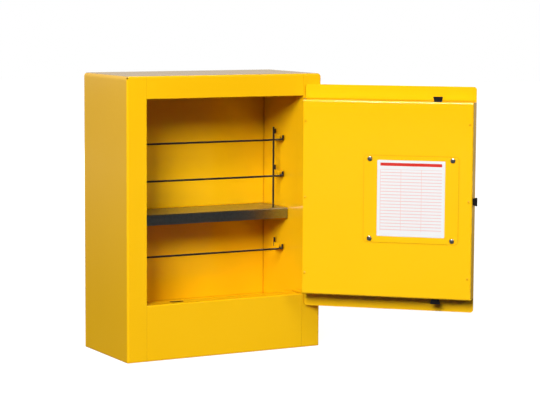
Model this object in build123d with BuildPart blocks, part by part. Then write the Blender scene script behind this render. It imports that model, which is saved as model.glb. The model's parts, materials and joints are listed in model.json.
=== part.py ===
"""Countertop safety cabinet: a double-walled sheet-steel casing with a shelf, two wire can rails and
one self-latching door on a continuous hinge, drawn with the door standing open."""
from build123d import *
import os
from math import cos, dist, pi, radians, sin, sqrt

os.makedirs("parts", exist_ok=True)

# Casing, in millimetres: the front looks along -Y and the base stands on Z = 0
width = 432.0
depth = 206.0
height = 559.0
sheet = 1.2
side_bend = 7.5
front_bend = 4.0
relief_r = 1.7
relief_drop = 4.0
flange_bend = 2.0
seam_gap = 0.3
edge_tolerance = 0.01

# Door opening and the frame around it
stile_w = 41.5
header_h = 44.5
sill_z = 110.5
frame_depth = 42.0
return_depth = 11.0
sill_lip = 25.0

# Inner wall
air_space = 38.6
sump_depth = 51.0
sump_wall = 30.0
liner_lap = 24.0
spacer_w = 60.0
spacer_foot = 14.0
spacer_h = 330.0
base_flange = 12.0
base_corner = 5.0

# Shelf
shelf_drop = 233.5
shelf_front = 60.0
shelf_flange = 21.0
shelf_end_gap = 1.5
shelf_back_gap = 2.0
bracket_w = 20.0
bracket_reach = 14.0
bracket_drop = 16.0
bracket_inset = 8.0

# Wire can rails and the hooks that hold them
wire = 4.0
wire_bend = 5.0
rail_setback = 76.0
rail_wall_gap = 2.2
upper_bar_rise = 139.5
bar_pitch = 74.5
lower_bar_drop = 86.5
bar_upturn = 9.0
arm_length = 34.0
arm_tail = 20.0
post_inset = 22.0
post_rise = 27.0
hook_length = 20.0
hook_height = 14.0
hook_setback = 9.0
hook_clear = 0.3
stand_clear = 0.3

# Hinge
open_angle = 137.0
hinge_setback = 1.7
hinge_forward = 4.0
barrel_r = 2.4
pin_r = 1.2
pin_clear = 0.05
leaf = 1.0
leaf_w = 24.0
knuckle_count = 13
knuckle_gap = 0.4
swing_clear = 0.35
hinge_end_gap = 1.5
pin_head = 2.0

# Door: u runs from the hinge to the free edge, n runs inwards
door_hinge_gap = 1.5
door_free_gap = 3.5
door_end_gap = 6.0
skin_overlap = 23.5
skin_barrel_gap = 0.3
skin_hinge_edge = 1.0
skin_corner = 6.0
pan_face_n = 36.0
pan_bend = 3.5

# Access cover on the inner face
cover_setback = 122.2
cover_z = 314.0
cover_w = 189.5
cover_h = 173.0
cover_t = 1.0
cover_corner = 7.0
access_margin = 22.0
screw_pitch_u = 166.0
screw_pitch_z = 159.5
screw_r = 2.0
screw_head_r = 4.6
screw_head_t = 2.4
screw_crown = 1.44
screw_length = 9.0
screw_clear = 0.2
rivet_r = 2.8
rivet_t = 1.3
rivet_crown = 0.9
rivet_inset = 6.5
rivet_pitch = 153.0

# Latch
bolt_setback = 72.2
bolt_n = 26.0
bolt_w = 19.0
bolt_t = 6.0
bolt_out = 10.5
bolt_length = 30.0
bolt_bevel = 4.0
bolt_neck_w = 13.0
bolt_head = 2.0
side_bolt_h = 17.0
side_bolt_neck_h = 11.0
side_bolt_out = 8.5
side_bolt_length = 26.0
bolt_travel = 9.76
strike_clear = 4.0
bolt_clear = 0.5
rod_w = 12.0
rod_t = 3.0
guide_w = 26.0
guide_h = 12.0
guide_wall = 4.0
guide_setback = 78.0
guide_floor = 6.5
slide_t = 3.0
slide_w = 62.0
slide_h = 104.0
slide_n = 22.0
slide_corner = 4.0
drive_pin_r = 2.5
drive_offset = 38.0
drive_clear = 0.25
drive_window = 1.0
rail_clear = 0.3
tail_window_clear = 4.6
spring_r = 7.3
spring_wire = 1.3
spring_turns = 6
spring_sides = 6
spring_seat = 0.3

# Handle in the outer face
cup_w = 82.0
cup_h = 80.0
cup_depth = 18.5
cup_wall = 2.0
cup_corner = 8.0
cup_rim = 7.0
rim_t = 1.6
rim_round = 0.8
cup_clear = 0.5
paddle_w = 59.0
paddle_t = 3.2
paddle_end_gap = 3.0
paddle_side_gap = 2.5
paddle_corner = 5.0
paddle_round = 1.2
pivot_inset = 13.0
pivot_n = 2.0
pivot_r = 2.0
pivot_clear = 0.08
boss_r = 4.6
tail_t = 5.0
tail_h = 14.0
tail_length = 24.0

# Key lock below the handle
lock_drop = 83.0
bezel_r = 12.0
bezel_t = 2.2
barrel_lock_r = 9.4
plug_r = 6.0
plug_clear = 0.06
plug_proud = 1.0
lock_length = 19.0
key_slot_w = 1.6
key_slot_h = 8.0
key_slot_depth = 6.0
cam_length = 25.0
cam_w = 13.0
cam_t = 2.0

# Grounding stud on the hinge side of the casing
stud_r = 3.0
stud_out = 16.0
stud_in = 4.0
stud_z = 40.0
stud_back = 40.0
stud_clear = 0.2
nut_flats = 10.0
nut_t = 5.0

# Places that follow from the sizes above
front_y = -depth / 2
back_y = depth / 2
opening_w = width - 2 * stile_w
half_opening = opening_w / 2
lintel_z = height - header_h
opening_h = lintel_z - sill_z
frame_back_y = front_y + frame_depth
liner_back_y = back_y - sheet - air_space - sheet
floor_z = sill_z - sump_depth
liner_top_z = lintel_z + sheet
shelf_top = lintel_z - shelf_drop
upper_bar_z = shelf_top + upper_bar_rise
lower_bar_z = shelf_top - lower_bar_drop
axis_x = half_opening + hinge_setback
axis_y = front_y - hinge_forward
door_w = opening_w - door_hinge_gap - door_free_gap
hinge_edge = hinge_setback + door_hinge_gap
free_edge = hinge_edge + door_w
bolt_u = free_edge - bolt_setback
cover_u = free_edge - cover_setback
pan_low = sill_z + door_end_gap
pan_high = lintel_z - door_end_gap
mid_z = (pan_low + pan_high) / 2
skin_low = sill_z - skin_overlap
skin_high = lintel_z + skin_overlap
skin_n = -barrel_r - skin_barrel_gap
skin_face_n = skin_n - sheet
pan_wall_n = pan_face_n - sheet
strike_x = axis_x - bolt_u
strike_y = axis_y + bolt_n
pivot_u = bolt_u + cup_w / 2 - pivot_inset

free_dir = Vector(-cos(radians(open_angle)), -sin(radians(open_angle)), 0)
inward_dir = Vector(-sin(radians(open_angle)), cos(radians(open_angle)), 0)
door_face = Plane(origin=(axis_x, axis_y, 0), x_dir=free_dir, z_dir=inward_dir)


def door_plan(z):
    """Level plane of the door at height z, seen from below: local x is u, local y is n."""
    return Plane(origin=(axis_x, axis_y, z), x_dir=free_dir, z_dir=(0, 0, -1))


def save(piece, name):
    """Label one finished piece and write it."""
    piece.part.label = name
    export_step(piece.part, f"parts/{name}.step")


def casing_block(inset):
    """The casing's form with its bent edges, drawn in by inset at the sides, top and front."""
    with BuildPart() as block:
        with BuildSketch(Plane.XZ.offset(-front_y - inset)) as outline:
            Rectangle(width - 2 * inset, height - inset, align=(Align.CENTER, Align.MIN))
            fillet(outline.vertices().group_by(Axis.Y)[-1], side_bend - inset)
        extrude(amount=-(depth - sheet - inset))
        rim = block.faces().sort_by(Axis.Y)[0].edges().sort_by(Axis.Z)[1:]
        fillet(rim, front_bend - inset)
    return block.part


# One folded casing sheet, cut at the seams into two sides and a top
with BuildPart() as casing:
    add(casing_block(0))
    add(casing_block(sheet), mode=Mode.SUBTRACT)
    with BuildSketch(Plane.XZ.offset(-front_y)):
        Rectangle(opening_w, lintel_z, align=(Align.CENTER, Align.MIN))
    extrude(amount=-2 * front_bend, mode=Mode.SUBTRACT)


def side_panel(side):
    """Side wall with its front stile and the return that carries the inner wall."""
    with BuildPart() as panel:
        add(casing.part)
        split(bisect_by=Plane.YZ.offset(side * half_opening), keep=Keep.TOP if side > 0 else Keep.BOTTOM)
        with Locations((side * (half_opening + sheet), front_y + sheet, sill_z)):
            near = Align.MIN if side > 0 else Align.MAX
            Box(sheet, return_depth, opening_h, align=(near, Align.MIN, Align.MIN))
        corner = Plane((side * width / 2, front_y, height - relief_drop), z_dir=(-side, 1, 0))
        with BuildSketch(corner):
            Circle(relief_r)
        extrude(amount=2 * front_bend, mode=Mode.SUBTRACT)
        if side > 0:
            with BuildSketch(Plane.YZ.offset(width / 2)):
                with Locations((back_y - stud_back, stud_z)):
                    Circle(stud_r + stud_clear)
            extrude(amount=-2 * sheet, mode=Mode.SUBTRACT)
    return panel


save(side_panel(-1), "left_side_panel")
save(side_panel(1), "right_side_panel")

# Top with the header and the lintel that takes the upper bolt
with BuildPart() as top_panel:
    add(casing.part)
    split(bisect_by=Plane.YZ.offset(half_opening - seam_gap), keep=Keep.BOTTOM)
    split(bisect_by=Plane.YZ.offset(seam_gap - half_opening), keep=Keep.TOP)
    with Locations((0, front_y, lintel_z)):
        Box(opening_w - 2 * seam_gap, frame_depth, sheet, align=(Align.CENTER, Align.MIN, Align.MIN))
    bend = top_panel.edges().filter_by(Axis.X).group_by(Axis.Z)[0].sort_by(Axis.Y)[0]
    fillet(bend, flange_bend / 2)
    with BuildSketch(Plane.XY.offset(lintel_z)):
        with Locations((strike_x, strike_y)):
            Rectangle(bolt_w + 2 * strike_clear, bolt_t + 2 * strike_clear)
    extrude(amount=sheet, mode=Mode.SUBTRACT)
save(top_panel, "top_panel")

# Apron folded back into the sill, with the slot for the lower bolt
with BuildPart() as front_apron:
    with BuildSketch(Plane.YZ.offset(-half_opening + seam_gap)):
        with BuildLine():
            Polyline(
                (front_y, 0),
                (front_y, sill_z),
                (frame_back_y, sill_z),
                (frame_back_y, sill_z - sill_lip),
                (frame_back_y - sheet, sill_z - sill_lip),
                (frame_back_y - sheet, sill_z - sheet),
                (front_y + sheet, sill_z - sheet),
                (front_y + sheet, 0),
                close=True,
            )
        make_face()
    extrude(amount=opening_w - 2 * seam_gap)
    sill_bends = front_apron.edges().filter_by(Axis.X).group_by(Axis.Z)[-1]
    fillet(sill_bends, flange_bend)
    sill_roots = front_apron.edges().filter_by(Axis.X).filter_by_position(
        Axis.Z, sill_z - sheet - edge_tolerance, sill_z - sheet + edge_tolerance)
    fillet(sill_roots, flange_bend - sheet)
    with BuildSketch(Plane.XY.offset(sill_z)):
        with Locations((strike_x, strike_y)):
            Rectangle(bolt_w + 2 * strike_clear, bolt_t + 2 * strike_clear)
    extrude(amount=-sheet, mode=Mode.SUBTRACT)
save(front_apron, "front_apron")

# Back sheet, cut to the casing's outline
with BuildPart() as outer_back:
    with BuildSketch(Plane.XZ.offset(-back_y)) as back_outline:
        Rectangle(width, height, align=(Align.CENTER, Align.MIN))
        fillet(back_outline.vertices().group_by(Axis.Y)[-1], side_bend)
    extrude(amount=sheet)
save(outer_back, "outer_back")

# Base tray inside the casing
with BuildPart() as base_pan:
    with BuildSketch():
        RectangleRounded(width - 2 * sheet, depth - 2 * sheet, base_corner)
    extrude(amount=base_flange)
    offset(amount=-sheet, openings=base_pan.faces().sort_by(Axis.Z)[-1])
save(base_pan, "base_pan")


def inner_wall(side):
    """Inner side wall; the one at the door's free edge has the slot for the side bolt."""
    with BuildPart() as wall:
        with Locations((side * half_opening, front_y + sheet, floor_z - sheet)):
            near = Align.MIN if side > 0 else Align.MAX
            run = liner_back_y - front_y - sheet
            Box(sheet, run, liner_top_z - floor_z + sheet, align=(near, Align.MIN, Align.MIN))
        if side < 0:
            with BuildSketch(Plane.YZ.offset(-half_opening)):
                with Locations((axis_y + slide_n, mid_z)):
                    Rectangle(bolt_t + 2 * strike_clear, side_bolt_h + 2 * strike_clear)
            extrude(amount=-sheet, mode=Mode.SUBTRACT)
    return wall


save(inner_wall(-1), "inner_left_wall")
save(inner_wall(1), "inner_right_wall")

# Ceiling, lapped onto the lintel
with BuildPart() as inner_top:
    with Locations((0, frame_back_y - liner_lap, liner_top_z)):
        run = liner_back_y - frame_back_y + liner_lap
        Box(opening_w + 2 * sheet, run, sheet, align=(Align.CENTER, Align.MIN, Align.MIN))
    with BuildSketch(Plane.XY.offset(liner_top_z)):
        with Locations((strike_x, strike_y)):
            Rectangle(bolt_w + 2 * strike_clear, bolt_t + 2 * strike_clear)
    extrude(amount=sheet, mode=Mode.SUBTRACT)
save(inner_top, "inner_top")

with BuildPart() as inner_back:
    with Locations((0, liner_back_y, floor_z - sheet)):
        tall = liner_top_z + sheet - floor_z + sheet
        Box(opening_w + 2 * sheet, sheet, tall, align=(Align.CENTER, Align.MIN, Align.MIN))
save(inner_back, "inner_back")

# Leakproof sump: a tray that stands up behind the sill
with BuildPart() as sump_pan:
    with Locations((0, frame_back_y, floor_z - sheet)):
        run = liner_back_y - frame_back_y
        Box(opening_w, run, sump_wall + sheet, align=(Align.CENTER, Align.MIN, Align.MIN))
    offset(amount=-sheet, openings=sump_pan.faces().sort_by(Axis.Z)[-1])
save(sump_pan, "sump_pan")

# Hat channels that hold the inner back off the outer one
with BuildPart() as wall_spacers:
    with BuildSketch(Plane.XY.offset((floor_z + liner_top_z - spacer_h) / 2)):
        with Locations((-opening_w / 4, 0), (opening_w / 4, 0)):
            with Locations((0, liner_back_y + sheet + air_space / 2)):
                Rectangle(spacer_w, air_space)
                Rectangle(spacer_w - 2 * sheet, air_space - 2 * sheet, mode=Mode.SUBTRACT)
            with Locations((0, liner_back_y + sheet + air_space - sheet)):
                Rectangle(spacer_w + 2 * spacer_foot, sheet, align=(Align.CENTER, Align.MIN))
                Rectangle(spacer_w - 2 * sheet, sheet, align=(Align.CENTER, Align.MIN), mode=Mode.SUBTRACT)
    extrude(amount=spacer_h)
save(wall_spacers, "wall_spacers")

# Galvanised shelf with front and back flanges
shelf_y0 = front_y + shelf_front
shelf_y1 = liner_back_y - shelf_back_gap
with BuildPart() as shelf:
    with BuildSketch(Plane.YZ.offset(shelf_end_gap - half_opening)):
        with BuildLine():
            Polyline(
                (shelf_y0, shelf_top - shelf_flange),
                (shelf_y0, shelf_top),
                (shelf_y1, shelf_top),
                (shelf_y1, shelf_top - shelf_flange),
                (shelf_y1 - sheet, shelf_top - shelf_flange),
                (shelf_y1 - sheet, shelf_top - sheet),
                (shelf_y0 + sheet, shelf_top - sheet),
                (shelf_y0 + sheet, shelf_top - shelf_flange),
                close=True,
            )
        make_face()
    extrude(amount=opening_w - 2 * shelf_end_gap)
    fillet(shelf.edges().filter_by(Axis.X).group_by(Axis.Z)[-1], flange_bend)
    fillet(
        shelf.edges().filter_by(Axis.X).filter_by_position(
            Axis.Z, shelf_top - sheet - edge_tolerance, shelf_top - sheet + edge_tolerance),
        flange_bend - sheet,
    )
save(shelf, "shelf")

# Four angle brackets under the shelf's ends
bracket_y0 = shelf_y0 + sheet + bracket_inset + bracket_w / 2
bracket_y1 = shelf_y1 - sheet - bracket_inset - bracket_w / 2
with BuildPart() as shelf_brackets:
    for side in (-1, 1):
        far = Align.MAX if side > 0 else Align.MIN
        with Locations(*[(side * half_opening, y, shelf_top - sheet) for y in (bracket_y0, bracket_y1)]):
            Box(bracket_reach, bracket_w, sheet, align=(far, Align.CENTER, Align.MAX))
            Box(sheet, bracket_w, bracket_drop, align=(far, Align.CENTER, Align.MAX))
save(shelf_brackets, "shelf_brackets")

# Can rails: bars with turned-up ends, side arms that drop into the hooks, and standing posts
rail_y = front_y + rail_setback
arm_x = half_opening - rail_wall_gap - wire / 2


def rail_bar(z):
    """One front bar, both ends turned up beside the walls."""
    with BuildPart() as bar:
        with BuildLine() as path:
            FilletPolyline(
                (-arm_x, rail_y, z + bar_upturn),
                (-arm_x, rail_y, z),
                (arm_x, rail_y, z),
                (arm_x, rail_y, z + bar_upturn),
                radius=wire_bend,
            )
        with BuildSketch(Plane(path.line @ 0, z_dir=path.line % 0)):
            Circle(wire / 2)
        sweep()
    return bar.part


def rail_arm(side, z):
    """One side arm: back from the bar along the wall, then up."""
    with BuildPart() as arm:
        with BuildLine() as path:
            FilletPolyline(
                (side * arm_x, rail_y + wire_bend, z),
                (side * arm_x, rail_y + arm_length, z),
                (side * arm_x, rail_y + arm_length, z + arm_tail),
                radius=wire_bend,
            )
        with BuildSketch(Plane(path.line @ 0, z_dir=path.line % 0)):
            Circle(wire / 2)
        sweep()
        with Locations(Plane((side * arm_x, rail_y, z), z_dir=(0, 1, 0))):
            Cylinder(wire / 2, wire_bend, align=(Align.CENTER, Align.CENTER, Align.MIN))
    return arm.part


def can_rail(heights, post_top):
    """Bars at the given heights, with posts from the shelf where post_top is set."""
    with BuildPart() as rail:
        for z in heights:
            add(rail_bar(z))
            add(rail_arm(-1, z))
            add(rail_arm(1, z))
        if post_top:
            for side in (-1, 1):
                with Locations((side * (arm_x - post_inset), rail_y, shelf_top + stand_clear)):
                    post = post_top - shelf_top - stand_clear
                    Cylinder(wire / 2, post, align=(Align.CENTER, Align.CENTER, Align.MIN))
    return rail


upper_heights = (upper_bar_z, upper_bar_z - bar_pitch)
save(can_rail(upper_heights, upper_bar_z + post_rise), "upper_can_rail")
save(can_rail((lower_bar_z,), None), "lower_can_rail")

# J hooks on the inner walls, open upwards, that carry the rails' arms
hook_gap = rail_wall_gap + wire + hook_clear
with BuildPart() as rail_hooks:
    for side in (-1, 1):
        far = Align.MAX if side > 0 else Align.MIN
        for z in (*upper_heights, lower_bar_z):
            web_top = z - wire / 2 - hook_clear
            hook_y = rail_y + hook_setback
            with Locations((side * half_opening, hook_y, web_top)):
                Box(hook_gap, hook_length, sheet, align=(far, Align.MIN, Align.MAX))
            with Locations((side * (half_opening - hook_gap), hook_y, web_top - sheet)):
                Box(sheet, hook_length, hook_height, align=(far, Align.MIN, Align.MIN))
save(rail_hooks, "rail_hooks")

# Continuous hinge: alternate knuckles on two leaves around one pin
hinge_low = pan_low + hinge_end_gap
hinge_high = pan_high - hinge_end_gap
knuckle_pitch = (hinge_high - hinge_low) / knuckle_count


def knuckle_spans(first):
    """Height ranges of every other knuckle, counted from first."""
    spans = []
    for i in range(first, knuckle_count, 2):
        low = hinge_low + i * knuckle_pitch + knuckle_gap / 2
        spans.append((low, knuckle_pitch - knuckle_gap))
    return spans


with BuildPart() as hinge_jamb_leaf:
    leaf_front = axis_y + barrel_r + swing_clear
    with Locations((half_opening, leaf_front, hinge_low)):
        Box(leaf, leaf_w, hinge_high - hinge_low, align=(Align.MAX, Align.MIN, Align.MIN))
    for low, tall in knuckle_spans(0):
        with BuildSketch(Plane.XY.offset(low)):
            with Locations((half_opening - leaf, axis_y)):
                Rectangle(leaf, leaf_front - axis_y, align=(Align.MIN, Align.MIN))
            with Locations((axis_x, axis_y)):
                Circle(barrel_r)
        extrude(amount=tall)
    with BuildSketch(Plane.XY.offset(hinge_low)):
        with Locations((axis_x, axis_y)):
            Circle(pin_r + pin_clear)
    extrude(amount=hinge_high - hinge_low, mode=Mode.SUBTRACT)
save(hinge_jamb_leaf, "hinge_jamb_leaf")

with BuildPart() as hinge_door_leaf:
    leaf_start = barrel_r + swing_clear
    with BuildSketch(door_plan(hinge_high)):
        with Locations((leaf_start, skin_n)):
            Rectangle(leaf_w, leaf, align=(Align.MIN, Align.MIN))
    extrude(amount=hinge_high - hinge_low)
    for low, tall in knuckle_spans(1):
        with BuildSketch(door_plan(low + tall)):
            with Locations((0, skin_n)):
                Rectangle(leaf_start, leaf, align=(Align.MIN, Align.MIN))
            Circle(barrel_r)
        extrude(amount=tall)
    with BuildSketch(door_plan(hinge_high)):
        Circle(pin_r + pin_clear)
    extrude(amount=hinge_high - hinge_low, mode=Mode.SUBTRACT)
save(hinge_door_leaf, "hinge_door_leaf")

with BuildPart() as hinge_pin:
    with BuildSketch(Plane.XY.offset(hinge_low)):
        with Locations((axis_x, axis_y)):
            Circle(pin_r)
    extrude(amount=hinge_high - hinge_low + pin_clear)
    with BuildSketch(Plane.XY.offset(hinge_high + pin_clear)):
        with Locations((axis_x, axis_y)):
            Circle(barrel_r)
    extrude(amount=pin_head)
save(hinge_pin, "hinge_pin")

# Outer door sheet with the handle and lock cut-outs
with BuildPart() as door_skin:
    with BuildSketch(door_face.offset(skin_face_n)):
        with Locations(((skin_hinge_edge + free_edge) / 2, (skin_low + skin_high) / 2)):
            RectangleRounded(free_edge - skin_hinge_edge, skin_high - skin_low, skin_corner)
        with Locations((bolt_u, mid_z)):
            fit = 2 * cup_wall + 2 * cup_clear
            RectangleRounded(cup_w + fit, cup_h + fit, cup_corner + cup_wall + cup_clear, mode=Mode.SUBTRACT)
        with Locations((bolt_u, mid_z - lock_drop)):
            Circle(barrel_lock_r + cup_clear, mode=Mode.SUBTRACT)
    extrude(amount=sheet)
save(door_skin, "door_skin")

# Inner door pan: folded walls, the access hole and the bolt slots
pan_mid_u = (hinge_edge + free_edge) / 2
with BuildPart() as door_pan:
    with BuildSketch(door_face.offset(skin_n)):
        with Locations((pan_mid_u, mid_z)):
            Rectangle(door_w, pan_high - pan_low)
    extrude(amount=pan_face_n - skin_n)
    far_face = door_pan.faces().sort_by(Axis((0, 0, 0), inward_dir))[-1]
    fillet(far_face.edges(), pan_bend)
    open_side = door_pan.faces().sort_by(Axis((0, 0, 0), inward_dir))[0]
    offset(amount=-sheet, openings=open_side)
    with BuildSketch(door_face.offset(pan_face_n)):
        with Locations((cover_u, cover_z)):
            RectangleRounded(cover_w - 2 * access_margin, cover_h - 2 * access_margin, cover_corner)
            with GridLocations(screw_pitch_u, screw_pitch_z, 2, 2):
                Circle(screw_r + screw_clear)
    extrude(amount=-2 * sheet, mode=Mode.SUBTRACT)
    with BuildSketch(door_plan(pan_high)):
        with Locations((bolt_u, bolt_n)):
            Rectangle(bolt_w + 2 * bolt_clear, bolt_t + 2 * bolt_clear)
    extrude(amount=pan_high - pan_low, mode=Mode.SUBTRACT)
    with BuildSketch(Plane(door_face.from_local_coords((free_edge, 0, 0)), x_dir=inward_dir, z_dir=free_dir)):
        with Locations((slide_n, -mid_z)):
            Rectangle(bolt_t + 2 * bolt_clear, side_bolt_h + 2 * bolt_clear)
    extrude(amount=-2 * sheet, mode=Mode.SUBTRACT)
    with BuildSketch(door_plan(hinge_high + hinge_end_gap / 2)):
        with Locations((hinge_edge, skin_n)):
            Rectangle(sheet, leaf, align=(Align.MIN, Align.MIN))
    extrude(amount=hinge_high - hinge_low + hinge_end_gap, mode=Mode.SUBTRACT)
save(door_pan, "door_pan")

# Cover plate, its screws and the rivet heads along the pan's edges
with BuildPart() as access_cover:
    with BuildSketch(door_face.offset(pan_face_n)):
        with Locations((cover_u, cover_z)):
            RectangleRounded(cover_w, cover_h, cover_corner)
            with GridLocations(screw_pitch_u, screw_pitch_z, 2, 2):
                Circle(screw_r + screw_clear, mode=Mode.SUBTRACT)
    extrude(amount=cover_t)
save(access_cover, "access_cover")

with BuildPart() as cover_screws:
    with BuildSketch(door_face.offset(pan_face_n + cover_t)):
        with Locations((cover_u, cover_z)):
            with GridLocations(screw_pitch_u, screw_pitch_z, 2, 2):
                Circle(screw_head_r)
    extrude(amount=screw_head_t)
    crowns = cover_screws.faces().filter_by(door_face).group_by(Axis((0, 0, 0), inward_dir))[-1]
    fillet(crowns.edges(), screw_crown)
    with BuildSketch(door_face.offset(pan_face_n + cover_t)):
        with Locations((cover_u, cover_z)):
            with GridLocations(screw_pitch_u, screw_pitch_z, 2, 2):
                Circle(screw_r)
    extrude(amount=-screw_length)
save(cover_screws, "cover_screws")

with BuildPart() as pan_rivets:
    with BuildSketch(door_face.offset(pan_face_n)):
        with Locations((pan_mid_u, mid_z)):
            with GridLocations(door_w - 2 * rivet_inset, rivet_pitch, 2, 3):
                Circle(rivet_r)
    extrude(amount=rivet_t)
    heads = pan_rivets.faces().filter_by(door_face).group_by(Axis((0, 0, 0), inward_dir))[-1]
    fillet(heads.edges(), rivet_crown)
save(pan_rivets, "pan_rivets")

# Handle cup let into the outer sheet, with a slot at the back for the paddle's tail
cup_floor_n = skin_face_n + cup_depth
with BuildPart() as handle_cup:
    with BuildSketch(door_face.offset(skin_face_n - rim_t)):
        with Locations((bolt_u, mid_z)):
            rim = 2 * cup_wall + 2 * cup_rim
            RectangleRounded(cup_w + rim, cup_h + rim, cup_corner + cup_wall + cup_rim)
    extrude(amount=rim_t)
    fillet(handle_cup.faces().sort_by(Axis((0, 0, 0), inward_dir))[0].edges(), rim_round)
    with BuildSketch(door_face.offset(skin_face_n)):
        with Locations((bolt_u, mid_z)):
            RectangleRounded(cup_w + 2 * cup_wall, cup_h + 2 * cup_wall, cup_corner + cup_wall)
    extrude(amount=cup_depth + cup_wall)
    with BuildSketch(door_face.offset(skin_face_n - rim_t)):
        with Locations((bolt_u, mid_z)):
            RectangleRounded(cup_w, cup_h, cup_corner)
    extrude(amount=cup_depth + rim_t, mode=Mode.SUBTRACT)
    with BuildSketch(door_face.offset(cup_floor_n)):
        with Locations((pivot_u - bolt_travel / 2, mid_z)):
            Rectangle(bolt_travel + 2 * tail_t, tail_h + 2 * paddle_end_gap)
    extrude(amount=cup_wall, mode=Mode.SUBTRACT)
    with BuildSketch(door_plan(mid_z + cup_h / 2 + cup_wall)):
        with Locations((pivot_u, pivot_n)):
            Circle(pivot_r + pivot_clear)
    extrude(amount=cup_h + 2 * cup_wall, mode=Mode.SUBTRACT)
save(handle_cup, "handle_cup")

# Paddle: plate, pivot boss and the tail that drives the latch slide
paddle_h = cup_h - 2 * paddle_end_gap
paddle_n = skin_face_n - rim_t
paddle_free_u = bolt_u + cup_w / 2 - paddle_side_gap
with BuildPart() as paddle:
    with BuildSketch(door_face.offset(paddle_n)):
        with Locations((paddle_free_u - paddle_w / 2, mid_z)):
            RectangleRounded(paddle_w, paddle_h, paddle_corner)
    extrude(amount=paddle_t)
    fillet(paddle.faces().sort_by(Axis((0, 0, 0), inward_dir))[0].edges(), paddle_round)
    with BuildSketch(door_plan(mid_z + paddle_h / 2 - paddle_corner)):
        with Locations((pivot_u, pivot_n)):
            Circle(boss_r)
        with Locations((pivot_u, paddle_n + paddle_t)):
            Rectangle(2 * boss_r, pivot_n - paddle_n - paddle_t, align=(Align.CENTER, Align.MIN))
    extrude(amount=paddle_h - 2 * paddle_corner)
    with BuildSketch(door_plan(mid_z + tail_h / 2)):
        with Locations((pivot_u, pivot_n)):
            Rectangle(tail_t, tail_length, align=(Align.CENTER, Align.MIN))
    extrude(amount=tail_h)
    with BuildSketch(door_plan(mid_z + paddle_h / 2)):
        with Locations((pivot_u, pivot_n)):
            Circle(pivot_r + pivot_clear)
    extrude(amount=paddle_h, mode=Mode.SUBTRACT)
save(paddle, "paddle")

with BuildPart() as paddle_pin:
    with BuildSketch(door_plan(mid_z + cup_h / 2 + cup_wall)):
        with Locations((pivot_u, pivot_n)):
            Circle(pivot_r)
    extrude(amount=cup_h + 2 * cup_wall)
save(paddle_pin, "paddle_pin")

# Latch frame on the back of the cup, with the rails that the slide runs between
frame_n = cup_floor_n + cup_wall
slide_low_n = slide_n - slide_t / 2
slide_u = bolt_u
with BuildPart() as latch_frame:
    with BuildSketch(door_face.offset(frame_n)):
        with Locations((slide_u, mid_z)):
            Rectangle(slide_w, slide_h + 2 * rail_clear + 2 * guide_wall)
            with Locations((pivot_u - slide_u - bolt_travel / 2, 0)):
                Rectangle(bolt_travel + 2 * tail_t, tail_h + 2 * paddle_end_gap, mode=Mode.SUBTRACT)
            for way in (-1, 1):
                with Locations((0, way * drive_offset - way * bolt_travel / 2)):
                    clear = drive_pin_r + drive_window
                    Rectangle(2 * clear, bolt_travel + 2 * clear, mode=Mode.SUBTRACT)
    extrude(amount=slide_low_n - rail_clear - frame_n)
    with BuildSketch(door_face.offset(slide_low_n - rail_clear)):
        for way in (-1, 1):
            with Locations((slide_u, mid_z + way * (slide_h / 2 + rail_clear + guide_wall / 2))):
                Rectangle(slide_w, guide_wall)
    extrude(amount=slide_t + 2 * rail_clear)
save(latch_frame, "latch_frame")

# Slide with slanted slots for the rods' drive pins and a window for the paddle's tail
slot_run = bolt_travel * sqrt(2) + 2 * drive_pin_r + 2 * drive_clear
bolt_root_u = free_edge + side_bolt_out - side_bolt_length
with BuildPart() as latch_slide:
    with BuildSketch(door_face.offset(slide_low_n)):
        with Locations((slide_u, mid_z)):
            RectangleRounded(slide_w, slide_h, slide_corner)
        with Locations((slide_u, mid_z)):
            Rectangle(bolt_root_u - slide_u, side_bolt_h - 2 * bolt_clear, align=(Align.MIN, Align.CENTER))
        with Locations((pivot_u, mid_z)):
            Rectangle(2 * tail_window_clear, tail_h + 2 * bolt_clear, mode=Mode.SUBTRACT)
        for way in (-1, 1):
            with Locations((bolt_u + bolt_travel / 2, mid_z + way * (drive_offset - bolt_travel / 2))):
                SlotOverall(slot_run, 2 * (drive_pin_r + drive_clear), rotation=-45 * way, mode=Mode.SUBTRACT)
    extrude(amount=slide_t)
save(latch_slide, "latch_slide")

with BuildPart() as side_bolt:
    with BuildSketch(door_plan(mid_z + side_bolt_h / 2)):
        with BuildLine():
            Polyline(
                (bolt_root_u, slide_n - bolt_t / 2),
                (free_edge + side_bolt_out - bolt_bevel, slide_n - bolt_t / 2),
                (free_edge + side_bolt_out, slide_n - bolt_t / 2 + bolt_bevel),
                (free_edge + side_bolt_out, slide_n + bolt_t / 2),
                (bolt_root_u, slide_n + bolt_t / 2),
                close=True,
            )
        make_face()
    extrude(amount=side_bolt_h)
    shoulder = free_edge - 2 * sheet
    with BuildSketch(door_face.offset(slide_n - bolt_t / 2)):
        with BuildLine():
            Polyline(
                (bolt_root_u, mid_z + side_bolt_h / 2),
                (shoulder, mid_z + side_bolt_h / 2),
                (shoulder, mid_z + side_bolt_neck_h / 2),
                (free_edge + side_bolt_out - bolt_head, mid_z + side_bolt_h / 2),
                (free_edge + side_bolt_out, mid_z + side_bolt_h / 2),
                (free_edge + side_bolt_out, mid_z - side_bolt_h / 2),
                (free_edge + side_bolt_out - bolt_head, mid_z - side_bolt_h / 2),
                (shoulder, mid_z - side_bolt_neck_h / 2),
                (shoulder, mid_z - side_bolt_h / 2),
                (bolt_root_u, mid_z - side_bolt_h / 2),
                close=True,
            )
        make_face()
    extrude(amount=bolt_t, mode=Mode.INTERSECT)
save(side_bolt, "side_bolt")


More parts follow.
